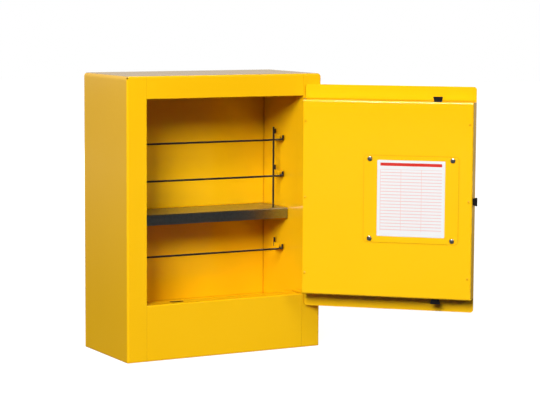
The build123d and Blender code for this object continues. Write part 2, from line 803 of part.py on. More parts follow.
def bolt_rod(way):
    """Flat rod with the drive pin that runs in the slide's slot; way is 1 up, -1 down."""
    tip = (pan_high if way > 0 else pan_low) + way * (bolt_out - bolt_length)
    root = mid_z + way * (drive_offset - 2 * drive_pin_r)
    with BuildPart() as rod:
        with BuildSketch(door_face.offset(bolt_n - rod_t / 2)):
            with Locations((bolt_u, (root + tip) / 2)):
                Rectangle(rod_w, abs(tip - root))
        extrude(amount=rod_t)
        with BuildSketch(door_face.offset(bolt_n - rod_t / 2)):
            with Locations((bolt_u, mid_z + way * drive_offset)):
                Circle(drive_pin_r)
        extrude(amount=slide_low_n - bolt_n + rod_t / 2)
    return rod


def end_bolt(way):
    """Bevelled bolt with a narrow neck on a rod's end, standing out of the pan's edge."""
    edge = pan_high if way > 0 else pan_low
    tip = edge + way * bolt_out
    root = tip - way * bolt_length
    with BuildPart() as bolt:
        with BuildSketch(Plane(door_face.from_local_coords((bolt_u - bolt_w / 2, 0, 0)),
                               x_dir=inward_dir, z_dir=free_dir)):
            with BuildLine():
                Polyline(
                    (bolt_n - bolt_t / 2, -root),
                    (bolt_n - bolt_t / 2, -tip + way * bolt_bevel),
                    (bolt_n - bolt_t / 2 + bolt_bevel, -tip),
                    (bolt_n + bolt_t / 2, -tip),
                    (bolt_n + bolt_t / 2, -root),
                    close=True,
                )
            make_face()
        extrude(amount=bolt_w)
        shoulder = edge - way * 2 * sheet
        with BuildSketch(door_face.offset(bolt_n - bolt_t / 2)):
            with BuildLine():
                Polyline(
                    (bolt_u - bolt_w / 2, root),
                    (bolt_u - bolt_w / 2, shoulder),
                    (bolt_u - bolt_neck_w / 2, shoulder),
                    (bolt_u - bolt_w / 2, tip - way * bolt_head),
                    (bolt_u - bolt_w / 2, tip),
                    (bolt_u + bolt_w / 2, tip),
                    (bolt_u + bolt_w / 2, tip - way * bolt_head),
                    (bolt_u + bolt_neck_w / 2, shoulder),
                    (bolt_u + bolt_w / 2, shoulder),
                    (bolt_u + bolt_w / 2, root),
                    close=True,
                )
            make_face()
        extrude(amount=bolt_t, mode=Mode.INTERSECT)
    return bolt


save(bolt_rod(1), "upper_rod")
save(bolt_rod(-1), "lower_rod")
save(end_bolt(1), "upper_bolt")
save(end_bolt(-1), "lower_bolt")

# Guides that keep the rods in line, fixed to the pan's face
with BuildPart() as rod_guides:
    for way in (-1, 1):
        guide_z = (pan_high if way > 0 else pan_low) - way * guide_setback
        low_n = bolt_n - rod_t / 2 - rail_clear - guide_floor
        with BuildSketch(door_plan(guide_z + guide_h / 2)):
            with Locations((bolt_u, low_n)):
                Rectangle(guide_w, pan_wall_n - low_n, align=(Align.CENTER, Align.MIN))
            with Locations((bolt_u, bolt_n)):
                Rectangle(rod_w + 2 * rail_clear, rod_t + 2 * rail_clear, mode=Mode.SUBTRACT)
        extrude(amount=guide_h)
save(rod_guides, "rod_guides")


# Return springs round the rods, between the guides and the bolts
def spring_point(turn, foot, rise):
    """Point of a coil's centre line after some turns, counted from its foot."""
    centre = door_face.from_local_coords((bolt_u, 0, bolt_n))
    angle = 2 * pi * turn
    climb = rise * turn / spring_turns
    return (centre.X + spring_r * cos(angle), centre.Y + spring_r * sin(angle), foot + climb)


def rod_spring(way):
    """Open coil of quarter-turn arcs; way is 1 for the upper rod, -1 for the lower."""
    edge = pan_high if way > 0 else pan_low
    foot = edge - way * (guide_setback - guide_h / 2 - spring_seat - spring_wire / 2)
    rise = edge + way * (bolt_out - bolt_length - spring_seat - spring_wire / 2) - foot
    with BuildPart() as spring:
        with BuildLine() as coil:
            for i in range(4 * spring_turns):
                ThreePointArc(*[spring_point(i / 4 + step, foot, rise) for step in (0, 0.125, 0.25)])
        with BuildSketch(Plane(coil.line @ 0, z_dir=coil.line % 0)):
            RegularPolygon(spring_wire / 2, spring_sides)
        sweep()
    points = [spring_point(i / 16, foot, rise) for i in range(16 * spring_turns + 1)]
    gap = min(dist(a, b) for i, a in enumerate(points) for b in points[i + 8:]) - spring_wire
    print(f"rod spring: least gap to itself {gap:.2f} mm")
    return spring


save(rod_spring(1), "upper_spring")
save(rod_spring(-1), "lower_spring")

# Key lock: barrel in the outer sheet, turning plug and the cam behind it
lock_z = mid_z - lock_drop
with BuildPart() as lock_barrel:
    with BuildSketch(door_face.offset(skin_face_n - bezel_t)):
        with Locations((bolt_u, lock_z)):
            Circle(bezel_r)
    extrude(amount=bezel_t)
    bezel_edge = lock_barrel.faces().sort_by(Axis((0, 0, 0), inward_dir))[0].edges()
    chamfer(bezel_edge, bezel_t / 2)
    with BuildSketch(door_face.offset(skin_face_n)):
        with Locations((bolt_u, lock_z)):
            Circle(barrel_lock_r)
    extrude(amount=lock_length)
    with BuildSketch(door_face.offset(skin_face_n - bezel_t)):
        with Locations((bolt_u, lock_z)):
            Circle(plug_r + plug_clear)
    extrude(amount=lock_length + bezel_t, mode=Mode.SUBTRACT)
save(lock_barrel, "lock_barrel")

with BuildPart() as lock_plug:
    with BuildSketch(door_face.offset(skin_face_n - bezel_t - plug_proud)):
        with Locations((bolt_u, lock_z)):
            Circle(plug_r)
    extrude(amount=lock_length + bezel_t + plug_proud + rail_clear)
    with BuildSketch(door_face.offset(skin_face_n - bezel_t - plug_proud)):
        with Locations((bolt_u, lock_z)):
            Rectangle(key_slot_w, key_slot_h)
    extrude(amount=key_slot_depth, mode=Mode.SUBTRACT)
save(lock_plug, "lock_plug")

with BuildPart() as lock_cam:
    with BuildSketch(door_face.offset(skin_face_n + lock_length + rail_clear)):
        with Locations((bolt_u, lock_z)):
            Circle(cam_w / 2)
            Rectangle(cam_length, cam_w, align=(Align.MAX, Align.CENTER))
    extrude(amount=cam_t)
save(lock_cam, "lock_cam")

# Grounding stud and its nut through the hinge-side wall
with BuildPart() as ground_stud:
    with BuildSketch(Plane.YZ.offset(width / 2 - sheet)):
        with Locations((back_y - stud_back, stud_z)):
            Circle(stud_r)
    extrude(amount=stud_out + sheet)
    with BuildSketch(Plane.YZ.offset(width / 2 - sheet)):
        with Locations((back_y - stud_back, stud_z)):
            RegularPolygon(nut_flats / 2, 6, major_radius=False)
    extrude(amount=-stud_in)
save(ground_stud, "ground_stud")

with BuildPart() as ground_nut:
    with BuildSketch(Plane.YZ.offset(width / 2)):
        with Locations((back_y - stud_back, stud_z)):
            RegularPolygon(nut_flats / 2, 6, major_radius=False)
            Circle(stud_r + pivot_clear, mode=Mode.SUBTRACT)
    extrude(amount=nut_t)
save(ground_nut, "ground_nut")
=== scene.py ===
"""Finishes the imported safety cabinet: enamel, bare steel, wire and plastic looks, the small fasteners,
the card on the door, and the studio it stands in."""
import bpy
import bmesh
import json
from math import cos, pi, radians, sin
from mathutils import Matrix, Vector


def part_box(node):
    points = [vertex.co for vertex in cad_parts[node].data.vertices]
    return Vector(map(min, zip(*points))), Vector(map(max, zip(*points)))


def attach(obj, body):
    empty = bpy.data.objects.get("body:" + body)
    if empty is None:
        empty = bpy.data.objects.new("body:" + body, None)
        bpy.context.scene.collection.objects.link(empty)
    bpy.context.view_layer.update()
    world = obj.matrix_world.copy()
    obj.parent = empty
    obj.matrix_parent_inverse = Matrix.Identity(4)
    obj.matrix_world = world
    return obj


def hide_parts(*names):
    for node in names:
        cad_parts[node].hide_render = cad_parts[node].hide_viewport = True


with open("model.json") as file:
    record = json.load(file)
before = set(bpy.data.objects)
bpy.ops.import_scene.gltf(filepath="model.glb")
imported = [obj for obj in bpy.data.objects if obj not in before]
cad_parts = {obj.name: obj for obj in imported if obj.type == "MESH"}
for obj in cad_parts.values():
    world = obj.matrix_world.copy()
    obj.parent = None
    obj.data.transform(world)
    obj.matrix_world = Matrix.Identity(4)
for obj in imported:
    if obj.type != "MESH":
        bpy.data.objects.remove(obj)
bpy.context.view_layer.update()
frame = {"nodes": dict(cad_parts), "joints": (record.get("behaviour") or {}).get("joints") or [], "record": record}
nodes = frame["nodes"]
joints = {j["name"]: j for j in frame["joints"]}

# The open door's own directions: along runs from the hinge to the free edge, inward into the closed cabinet
hinge = Vector(joints["door_swing"]["pos_m"])
hinge_foot = Vector((hinge.x, hinge.y, 0))
open_angle = radians(-joints["door_swing"]["range_deg"][0])
along = Vector((-cos(open_angle), -sin(open_angle), 0))
inward = Vector((-sin(open_angle), cos(open_angle), 0))
up = Vector((0, 0, 1))

# Small pieces, in metres
screw_head = 0.0046
screw_crown = 0.0011
screw_shank = 0.0020
screw_recess = 0.0052
screw_recess_w = 0.0011
screw_recess_depth = 0.0013
rivet_head = 0.0028
rivet_crown = 0.0011
rivet_hole = 0.0026
rivet_hole_depth = 0.0010
weld_head = 0.0021
weld_crown = 0.00018
weld_count = 8
weld_end = 0.022
head_sides = 40
head_rings = 7
hole_sides = 24
shank_sides = 24
spin_seed = 11
fastener_smooth = radians(32)
slot_margin = 0.006

# Grounding stud, in metres
stud_radius = 0.003
stud_head = 0.004
thread_pitch = 0.001
thread_depth = 0.00055
thread_taper = 0.4
thread_sides = 32
thread_steps = 10
thread_smooth = radians(40)

# Card on the access cover, in metres, and its print in shares of its width, height, rows and columns
card_w = 0.136
card_h = 0.152
card_z = 0.316
card_t = 0.00025
card_corner = 0.002
card_corner_steps = 5
card_margin = 0.045
card_band = (0.925, 0.965)
card_ruled = (0.07, 0.88)
card_rows = 24
card_columns = 3
card_rule = 0.26
card_stile = 0.02
card_ink = 0.60

# Where most of a noise's values lie
noise_low = 0.3
noise_high = 0.7
even = (1, 1, 1)


def on_door(u, n, z):
    """Point u along the door, n inward and z above the floor."""
    return hinge_foot + u * along + n * inward + z * up


def door_reach(node, direction):
    """Least and greatest distance of a node from the hinge line, along one of the door's directions."""
    reach = [(v.co - hinge_foot).dot(direction) for v in nodes[node].data.vertices]
    return min(reach), max(reach)


def placed(name, data):
    """New object with this data, in the scene."""
    made = bpy.data.objects.new(name, data)
    bpy.context.scene.collection.objects.link(made)
    return made


def shape_mesh(name, shape, look):
    """Mesh of a drawn shape with one look."""
    mesh = bpy.data.meshes.new(name)
    shape.to_mesh(mesh)
    shape.free()
    mesh.materials.append(look)
    return mesh


# Node trees
def clear_tree(owner):
    """Empties the node tree of a material or world and returns it."""
    owner.use_nodes = True
    owner.node_tree.nodes.clear()
    return owner.node_tree


def feed(tree, node, inputs):
    """Gives a node's inputs their values, or links them to other nodes' sockets."""
    for label, value in inputs.items():
        if isinstance(value, bpy.types.NodeSocket):
            tree.links.new(value, node.inputs[label])
        else:
            node.inputs[label].default_value = value


def add_node(tree, kind, inputs=None, **settings):
    """New node with its settings made and then its inputs fed."""
    node = tree.nodes.new(kind)
    for label, value in settings.items():
        setattr(node, label, value)
    feed(tree, node, inputs or {})
    return node


def calc(tree, operation, first, second):
    """A Math node on two sockets or numbers; returns its value socket."""
    return add_node(tree, "ShaderNodeMath", {0: first, 1: second}, operation=operation).outputs["Value"]


def between(tree, value, low, high):
    """1 where a value lies between two numbers, else 0."""
    above = calc(tree, "GREATER_THAN", value, low)
    below = calc(tree, "LESS_THAN", value, high)
    return calc(tree, "MULTIPLY", above, below)


def ranged(tree, value, from_low, from_high, low, high):
    """A value moved from one range to another, held at its ends."""
    node = add_node(tree, "ShaderNodeMapRange", {
        "Value": value, "From Min": from_low, "From Max": from_high, "To Min": low, "To Max": high})
    return node.outputs["Result"]


# Materials
def material(name):
    """Node material with one Principled shader; returns the material, its tree and the shader."""
    made = bpy.data.materials.new(name)
    tree = clear_tree(made)
    shader = add_node(tree, "ShaderNodeBsdfPrincipled")
    add_node(tree, "ShaderNodeOutputMaterial", {"Surface": shader.outputs["BSDF"]})
    return made, tree, shader


def object_noise(tree, scale, detail, stretch=even):
    """Noise on Object coordinates, scale per metre; returns its value socket."""
    place = add_node(tree, "ShaderNodeTexCoord")
    mapping = add_node(tree, "ShaderNodeMapping", {"Vector": place.outputs["Object"], "Scale": stretch})
    noise = add_node(tree, "ShaderNodeTexNoise", {
        "Vector": mapping.outputs["Vector"], "Scale": scale, "Detail": detail})
    return noise.outputs["Fac"]


def spread(tree, value, low, high):
    """A noise value spread over low to high."""
    return ranged(tree, value, noise_low, noise_high, low, high)


def two_tone(tree, value, dark, light):
    """Colour between dark and light by a noise value."""
    ramp = add_node(tree, "ShaderNodeValToRGB", {"Fac": value})
    first, last = ramp.color_ramp.elements
    first.position, last.position = noise_low, noise_high
    first.color, last.color = (*dark, 1), (*light, 1)
    return ramp.outputs["Color"]


def over(tree, share, under, colour):
    """A colour laid over another by a 0 to 1 share."""
    node = add_node(tree, "ShaderNodeMix", {"Factor": share, "A": under, "B": (*colour, 1)}, data_type="RGBA")
    return node.outputs["Result"]


def bump(tree, shader, height, strength, distance):
    """Bump on the shader from a height value."""
    node = add_node(tree, "ShaderNodeBump", {"Height": height, "Strength": strength, "Distance": distance})
    feed(tree, shader, {"Normal": node.outputs["Normal"]})


def noisy_look(name, tone, rough, relief, fixed):
    """Look whose colour, roughness and bump each follow a noise of their own.

    tone is scale, detail, dark and light; rough is scale, detail, low and high; relief is scale, detail,
    stretch, strength and distance; fixed holds the shader's other values."""
    made, tree, shader = material(name)
    scale, detail, dark, light = tone
    feed(tree, shader, {"Base Color": two_tone(tree, object_noise(tree, scale, detail), dark, light)})
    scale, detail, low, high = rough
    feed(tree, shader, {"Roughness": spread(tree, object_noise(tree, scale, detail), low, high)})
    scale, detail, stretch, strength, distance = relief
    bump(tree, shader, object_noise(tree, scale, detail, stretch), strength, distance)
    feed(tree, shader, fixed)
    return made


def yellow_enamel():
    """Glossy powder coat with a faint orange peel, slow changes of depth, and painted shade that darkens its
    creases.
    """
    made, tree, shader = material("yellow_enamel_coat")
    tone = two_tone(tree, object_noise(tree, 2.5, 3), (0.890, 0.485, 0.0030), (0.925, 0.515, 0.0045))
    # Painted shade: ambient occlusion darkens the coat's colour in creases and round raised edges, where shade
    # falls
    crease = add_node(tree, "ShaderNodeAmbientOcclusion", {"Distance": 0.004})
    painted_crease_shade = ranged(tree, crease.outputs["AO"], 0.6, 1.0, 1.0, 0.0)
    feed(tree, shader, {
        "Base Color": over(tree, painted_crease_shade, tone, (0.68, 0.31, 0.0015)),
        "Roughness": spread(tree, object_noise(tree, 26, 2), 0.13, 0.19),
        "Specular IOR Level": 0.28,
        "Coat Weight": 0.6,
        "Coat Roughness": 0.10})
    bump(tree, shader, object_noise(tree, 380, 1), 0.03, 0.0004)
    return made


def galvanised_sheet():
    """Zinc-coated sheet with faint spangles and a rolled grain."""
    made, tree, shader = material("galvanised_sheet")
    place = add_node(tree, "ShaderNodeTexCoord")
    spangle = add_node(tree, "ShaderNodeTexVoronoi", {"Vector": place.outputs["Object"], "Scale": 320})
    grey = add_node(tree, "ShaderNodeSeparateColor", {"Color": spangle.outputs["Color"]})
    feed(tree, shader, {
        "Base Color": two_tone(tree, grey.outputs["Red"], (0.30, 0.33, 0.34), (0.34, 0.37, 0.38)),
        "Roughness": spread(tree, grey.outputs["Green"], 0.29, 0.34),
        "Metallic": 1.0})
    bump(tree, shader, object_noise(tree, 60, 3, (1, 14, 14)), 0.04, 0.0003)
    return made


def coated_wire():
    """Black satin coating on bent wire."""
    return noisy_look(
        "black_wire_coat",
        tone=(90, 2, (0.008, 0.008, 0.009), (0.016, 0.016, 0.017)),
        rough=(220, 2, 0.30, 0.42),
        relief=(900, 2, even, 0.06, 0.0002),
        fixed={})


def zinc_plate():
    """Bright zinc plating, drawn along its length."""
    return noisy_look(
        "zinc_plated_steel",
        tone=(45, 3, (0.56, 0.56, 0.55), (0.72, 0.72, 0.70)),
        rough=(160, 3, 0.22, 0.36),
        relief=(240, 2, (6, 6, 1), 0.05, 0.0002),
        fixed={"Metallic": 1.0})


def grained_black(name, depth, grain, rough, gleam):
    """Near-black surface with a fine grain, as on moulded plastic, or as painted shade on the walls of a cut slot.
    """
    return noisy_look(
        name,
        tone=(70, 2, (depth, depth, 1.15 * depth), (1.8 * depth, 1.8 * depth, 2 * depth)),
        rough=(130, 2, rough, rough + 0.12),
        relief=(grain, 3, even, 0.18, 0.0003),
        fixed={"Specular IOR Level": gleam})


def turned_metal(name, dark, light, low, high):
    """Turned and polished metal with fine marks."""
    return noisy_look(
        name,
        tone=(120, 3, dark, light),
        rough=(500, 2, low, high),
        relief=(1400, 2, even, 0.03, 0.0001),
        fixed={"Metallic": 1.0})


def blank_card():
    """White paper card with one plain red band and pale ruled lines, not filled in."""
    made, tree, shader = material("blank_ruled_card")
    place = add_node(tree, "ShaderNodeUVMap", uv_map="card")
    split = add_node(tree, "ShaderNodeSeparateXYZ", {"Vector": place.outputs["UV"]})
    across, high = split.outputs["X"], split.outputs["Y"]
    paper = two_tone(tree, object_noise(tree, 700, 3), (0.71, 0.71, 0.72), (0.74, 0.74, 0.75))
    margin = between(tree, across, card_margin, 1 - card_margin)
    field = calc(tree, "MULTIPLY", between(tree, high, *card_ruled), margin)
    row = calc(tree, "FRACT", calc(tree, "MULTIPLY", high, card_rows), 0)
    from_margin = calc(tree, "SUBTRACT", across, card_margin)
    columns = calc(tree, "MULTIPLY", from_margin, card_columns / (1 - 2 * card_margin))
    column = calc(tree, "FRACT", columns, 0)
    rules = calc(tree, "LESS_THAN", row, card_rule)
    stiles = calc(tree, "LESS_THAN", column, card_stile)
    lines = calc(tree, "MULTIPLY", calc(tree, "MAXIMUM", rules, stiles), field)
    ruled = over(tree, calc(tree, "MULTIPLY", lines, card_ink), paper, (0.72, 0.30, 0.26))
    band = calc(tree, "MULTIPLY", between(tree, high, *card_band), margin)
    feed(tree, shader, {
        "Base Color": over(tree, band, ruled, (0.60, 0.028, 0.018)),
        "Roughness": spread(tree, object_noise(tree, 300, 2), 0.45, 0.58),
        "Specular IOR Level": 0.3})
    bump(tree, shader, object_noise(tree, 1800, 3), 0.05, 0.0001)
    return made


finish = {
    "yellow_enamel": yellow_enamel(),
    "galvanised_steel": galvanised_sheet(),
    "black_wire": coated_wire(),
    "plated_steel": zinc_plate(),
    "black_nylon": grained_black("black_nylon_bolt", 0.006, 900, 0.34, 0.25),
    "black_handle": grained_black("black_handle_grain", 0.016, 1500, 0.36, 0.5),
    "lock_chrome": turned_metal("lock_chrome_polish", (0.62, 0.62, 0.63), (0.76, 0.76, 0.77), 0.08, 0.16),
    "stud_brass": turned_metal("stud_brass_turned", (0.62, 0.42, 0.14), (0.74, 0.53, 0.20), 0.20, 0.32),
}
for row in frame["record"]["subparts"]:
    looks = nodes[row["node"]].data.materials
    looks.clear()
    looks.append(finish[row["material_slot"]])


def slot_walls_painted_shade(node, look):
    """Near-black look, a painted shade, on the cut walls of a sheet's bolt slot, which lie well inside the sheet's
    outline.
    """
    mesh = nodes[node].data
    low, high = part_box(node)
    mesh.materials.append(look)
    for face in mesh.polygons:
        inside = all(low[i] + slot_margin < face.center[i] < high[i] - slot_margin for i in (0, 1))
        upright = abs(face.normal.z) < 0.5
        if inside and upright:
            face.material_index = 1


# Painted shade: the apron slot's cut walls are made near black to stand for the shade inside the slot
slot_walls_painted_shade("front_apron", grained_black("painted_slot_shade", 0.010, 900, 0.45, 0.2))


# Fasteners, grown on points by geometry nodes
def upward(tree, height):
    """Vector that points up by a height."""
    return add_node(tree, "ShaderNodeCombineXYZ", {"Z": height}).outputs["Vector"]


def domed_head(tree, size):
    """Disc that stands on its point, with its top raised into a dome."""
    rim = add_node(tree, "GeometryNodeMeshCylinder", {
        "Vertices": head_sides, "Fill Segments": head_rings,
        "Radius": size["Head Radius"], "Depth": size["Rim"]})
    place = add_node(tree, "GeometryNodeInputPosition")
    split = add_node(tree, "ShaderNodeSeparateXYZ", {"Vector": place.outputs["Position"]})
    x, y, z = split.outputs
    out = calc(tree, "ADD", calc(tree, "POWER", x, 2.0), calc(tree, "POWER", y, 2.0))
    share = calc(tree, "DIVIDE", out, calc(tree, "POWER", size["Head Radius"], 2.0))
    rise = calc(tree, "MULTIPLY", size["Crown"], calc(tree, "SUBTRACT", 1.0, share))
    half = calc(tree, "DIVIDE", size["Rim"], 2.0)
    domed = add_node(tree, "GeometryNodeSetPosition", {
        "Geometry": rim.outputs["Mesh"],
        "Selection": calc(tree, "GREATER_THAN", z, 0.0),
        "Offset": upward(tree, calc(tree, "ADD", rise, half))})
    seated = add_node(tree, "GeometryNodeSetPosition", {
        "Geometry": domed.outputs["Geometry"],
        "Selection": calc(tree, "LESS_THAN", z, 0.0),
        "Offset": upward(tree, half)})
    return seated.outputs["Geometry"]


def recess_tools(tree, size, recess):
    """Tools that cut a cross or a round hole, half sunk in the head's top."""
    depth = calc(tree, "MULTIPLY", size["Recess Depth"], 2.0)
    tools = []
    if recess == "round":
        radius = calc(tree, "DIVIDE", size["Recess Width"], 2.0)
        tools.append(add_node(tree, "GeometryNodeMeshCylinder", {
            "Vertices": hole_sides, "Radius": radius, "Depth": depth}))
    else:
        for first, second in (("X", "Y"), ("Y", "X")):
            bar = add_node(tree, "ShaderNodeCombineXYZ", {
                first: size["Recess Length"], second: size["Recess Width"], "Z": depth})
            tools.append(add_node(tree, "GeometryNodeMeshCube", {"Size": bar.outputs["Vector"]}))
    top = upward(tree, calc(tree, "ADD", size["Rim"], size["Crown"]))
    joined = add_node(tree, "GeometryNodeJoinGeometry")
    for tool in tools:
        raised = add_node(tree, "GeometryNodeTransform", {
            "Geometry": tool.outputs["Mesh"], "Translation": top})
        feed(tree, joined, {"Geometry": raised.outputs["Geometry"]})
    return joined.outputs["Geometry"]


def fastener_tree(name, look, recess=None):
    """Node tree that grows a domed head and its shank on every point, turned to the point's facing.

    The recess is a cross, a round hole or none."""
    tree = bpy.data.node_groups.new(name, "GeometryNodeTree")
    tree.interface.new_socket("Geometry", in_out="INPUT", socket_type="NodeSocketGeometry")
    for label in ("Head Radius", "Rim", "Crown", "Shank Radius", "Shank Length",
                  "Recess Length", "Recess Width", "Recess Depth"):
        tree.interface.new_socket(label, in_out="INPUT", socket_type="NodeSocketFloat")
    tree.interface.new_socket("Geometry", in_out="OUTPUT", socket_type="NodeSocketGeometry")
    size = add_node(tree, "NodeGroupInput").outputs

    head = domed_head(tree, size)
    if recess:
        cut = add_node(tree, "GeometryNodeMeshBoolean", {
            "Mesh 1": head, "Mesh 2": recess_tools(tree, size, recess), "Self Intersection": True},
            operation="DIFFERENCE", solver="EXACT")
        head = cut.outputs["Mesh"]
    shank = add_node(tree, "GeometryNodeMeshCylinder", {
        "Vertices": shank_sides, "Radius": size["Shank Radius"], "Depth": size["Shank Length"]})
    sunk = add_node(tree, "GeometryNodeTransform", {
        "Geometry": shank.outputs["Mesh"],
        "Translation": upward(tree, calc(tree, "DIVIDE", size["Shank Length"], -2.0))})
    whole = add_node(tree, "GeometryNodeJoinGeometry")
    for solid in (head, sunk.outputs["Geometry"]):
        feed(tree, whole, {"Geometry": solid})

    facing = add_node(tree, "GeometryNodeInputNamedAttribute", {"Name": "facing"}, data_type="FLOAT_VECTOR")
    stand = add_node(tree, "FunctionNodeAlignRotationToVector", {
        "Vector": facing.outputs["Attribute"]}, axis="Z")
    chance = add_node(tree, "FunctionNodeRandomValue", {"Seed": spin_seed}, data_type="FLOAT")
    spin = add_node(tree, "FunctionNodeAxisAngleToRotation", {
        "Angle": calc(tree, "MULTIPLY", chance.outputs[1], pi / 2)})
    turn = add_node(tree, "FunctionNodeRotateRotation", {
        "Rotation": stand.outputs["Rotation"], "Rotate By": spin.outputs["Rotation"]}, rotation_space="LOCAL")
    each = add_node(tree, "GeometryNodeInstanceOnPoints", {
        "Points": size["Geometry"], "Instance": whole.outputs["Geometry"],
        "Rotation": turn.outputs["Rotation"]})
    real = add_node(tree, "GeometryNodeRealizeInstances", {"Geometry": each.outputs["Instances"]})
    coat = add_node(tree, "GeometryNodeSetMaterial", {"Geometry": real.outputs["Geometry"], "Material": look})
    add_node(tree, "NodeGroupOutput", {"Geometry": coat.outputs["Geometry"]})
    return tree


def fasteners(name, tree, points, facing, sizes):
    """Pieces grown on the points by a tree with these sizes, kept as one plain mesh."""
    mesh = bpy.data.meshes.new(name)
    mesh.from_pydata([tuple(p) for p in points], [], [])
    for value in mesh.attributes.new("facing", "FLOAT_VECTOR", "POINT").data:
        value.vector = facing
    piece = placed(name, mesh)
    grown = piece.modifiers.new("grown", "NODES")
    grown.node_group = tree
    for item in tree.interface.items_tree:
        if item.in_out == "INPUT" and item.name in sizes:
            grown[item.identifier] = sizes[item.name]
    solid = bpy.data.meshes.new_from_object(piece.evaluated_get(bpy.context.evaluated_depsgraph_get()))
    piece.modifiers.remove(grown)
    piece.data = solid
    solid.shade_smooth()
    solid.set_sharp_from_angle(angle=fastener_smooth)
    return piece


def door_points(node, radius, seat, rows):
    """Places of a door node's round heads: two columns, with the rows evenly spaced."""
    near, far = door_reach(node, along)
    low, high = door_reach(node, up)
    pitch = (high - low - 2 * radius) / (rows - 1)
    heights = [low + radius + i * pitch for i in range(rows)]
    return [on_door(u, seat, z) for u in (near + radius, far - radius) for z in heights]


def cover_screw_set():
    """Four cross-recessed pan-head screws of the access cover."""
    deep, top = door_reach("cover_screws", inward)
    seat = door_reach("access_cover", inward)[1]
    tree = fastener_tree("cross_screws", finish["plated_steel"], "cross")
    piece = fasteners("cover_screw_set", tree, door_points("cover_screws", screw_head, seat, 2), inward, {
        "Head Radius": screw_head, "Rim": top - seat - screw_crown, "Crown": screw_crown,
        "Shank Radius": screw_shank, "Shank Length": seat - deep, "Recess Length": screw_recess,
        "Recess Width": screw_recess_w, "Recess Depth": screw_recess_depth})
    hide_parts("cover_screws")
    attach(piece, "door")


def pan_rivet_set():
    """Six painted blind rivets along the pan's side edges, each with its mandrel hole."""
    seat, top = door_reach("pan_rivets", inward)
    tree = fastener_tree("painted_rivets", finish["yellow_enamel"], "round")
    piece = fasteners("pan_rivet_set", tree, door_points("pan_rivets", rivet_head, seat, 3), inward, {
        "Head Radius": rivet_head, "Rim": top - seat - rivet_crown, "Crown": rivet_crown,
        "Shank Radius": rivet_head / 2, "Shank Length": top - seat,
        "Recess Width": rivet_hole, "Recess Depth": rivet_hole_depth})
    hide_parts("pan_rivets")
    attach(piece, "door")


def leaf_weld_set():
    """Painted spot welds down the hinge leaf on the jamb."""
    corner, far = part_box("hinge_jamb_leaf")
    middle = (corner[1] + 2 * far[1]) / 3
    step = (far[2] - corner[2] - 2 * weld_end) / (weld_count - 1)
    points = [Vector((corner[0], middle, corner[2] + weld_end + i * step)) for i in range(weld_count)]
    tree = fastener_tree("spot_welds", finish["yellow_enamel"])
    piece = fasteners("leaf_weld_set", tree, points, -Vector((1, 0, 0)), {
        "Head Radius": weld_head, "Rim": weld_crown / 3, "Crown": weld_crown,
        "Shank Radius": weld_head / 2, "Shank Length": weld_crown})
    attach(piece, "cabinet")


def door_card():
    """Thin blank card stuck on the access cover, with softly rounded corners."""
    seat = door_reach("access_cover", inward)[1]
    middle = sum(door_reach("access_cover", along)) / 2
    outline = []
    for turn, (across, high) in enumerate(((1, 1), (-1, 1), (-1, -1), (1, -1))):
        for part in range(card_corner_steps + 1):
            angle = (turn + part / card_corner_steps) * pi / 2
            outline.append((across * (card_w / 2 - card_corner) + card_corner * cos(angle),
                            high * (card_h / 2 - card_corner) + card_corner * sin(angle)))
    shape = bmesh.new()
    back = [shape.verts.new(on_door(middle + x, seat, card_z + y)) for x, y in outline]
    front = [shape.verts.new(on_door(middle + x, seat + card_t, card_z + y)) for x, y in outline]
    shape.faces.new(front)
    shape.faces.new(reversed(back))
    for i in range(len(outline)):
        j = (i + 1) % len(outline)
        shape.faces.new((back[i], back[j], front[j], front[i]))
    bmesh.ops.recalc_face_normals(shape, faces=shape.faces)
    spot = shape.loops.layers.uv.new("card")
    for face in shape.faces:
        for corner in face.loops:
            offset = corner.vert.co - on_door(middle, seat, card_z)
            corner[spot].uv = (0.5 + offset.dot(along) / card_w, 0.5 + offset.z / card_h)
    piece = placed("door_card", shape_mesh("door_card", shape, blank_card()))
    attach(piece, "door")


def threaded_stud():
    """Grounding stud with its hexagon head inside the wall and a cut thread outside."""
    corner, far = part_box("ground_stud")
    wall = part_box("right_side_panel")[1][0]
    seat = corner[0] + stud_head
    y, z = (corner[1] + far[1]) / 2, (corner[2] + far[2]) / 2
    shape = bmesh.new()

    def ring(x, radii):
        """Points round the stud's axis, one for each radius."""
        turns = [2 * pi * k / len(radii) for k in range(len(radii))]
        return [shape.verts.new((x, y + r * cos(t), z + r * sin(t))) for r, t in zip(radii, turns)]

    def close_rings(rings):
        """Faces between each ring and the next, and over both ends."""
        for first, second in zip(rings, rings[1:]):
            for k in range(len(first)):
                m = (k + 1) % len(first)
                shape.faces.new((first[k], first[m], second[m], second[k]))
        shape.faces.new(rings[0])
        shape.faces.new(rings[-1])

    steps = int((far[0] - wall) / thread_pitch * thread_steps)
    rings = [ring(seat, [stud_radius] * thread_sides)]
    for i in range(steps + 1):
        x = wall + (far[0] - wall) * i / steps
        taper = thread_taper * (1 - min(1.0, (far[0] - x) / thread_pitch))
        phases = [((x - wall) / thread_pitch + k / thread_sides) % 1.0 for k in range(thread_sides)]
        rings.append(ring(x, [stud_radius - thread_depth * (abs(2 * p - 1) + taper) for p in phases]))
    close_rings(rings)
    head_radius = (far[2] - corner[2]) / 2 / cos(pi / 6)
    close_rings([ring(x, [head_radius] * 6) for x in (corner[0], seat)])
    bmesh.ops.recalc_face_normals(shape, faces=shape.faces)
    mesh = shape_mesh("threaded_stud", shape, finish["stud_brass"])
    mesh.shade_smooth()
    mesh.set_sharp_from_angle(angle=thread_smooth)
    piece = placed("threaded_stud", mesh)
    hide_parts("ground_stud")
    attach(piece, "cabinet")


cover_screw_set()
pan_rivet_set()
leaf_weld_set()
door_card()
threaded_stud()


# Camera at the photograph's place
camera_place = Vector((-1.755, -3.467, 0.720))
camera_yaw = radians(28.86)
camera_pitch = radians(6.30)
camera_roll = radians(0.33)
focal_pixels = 1921
image_width = 540
sensor_width = 36
view_distance = 50


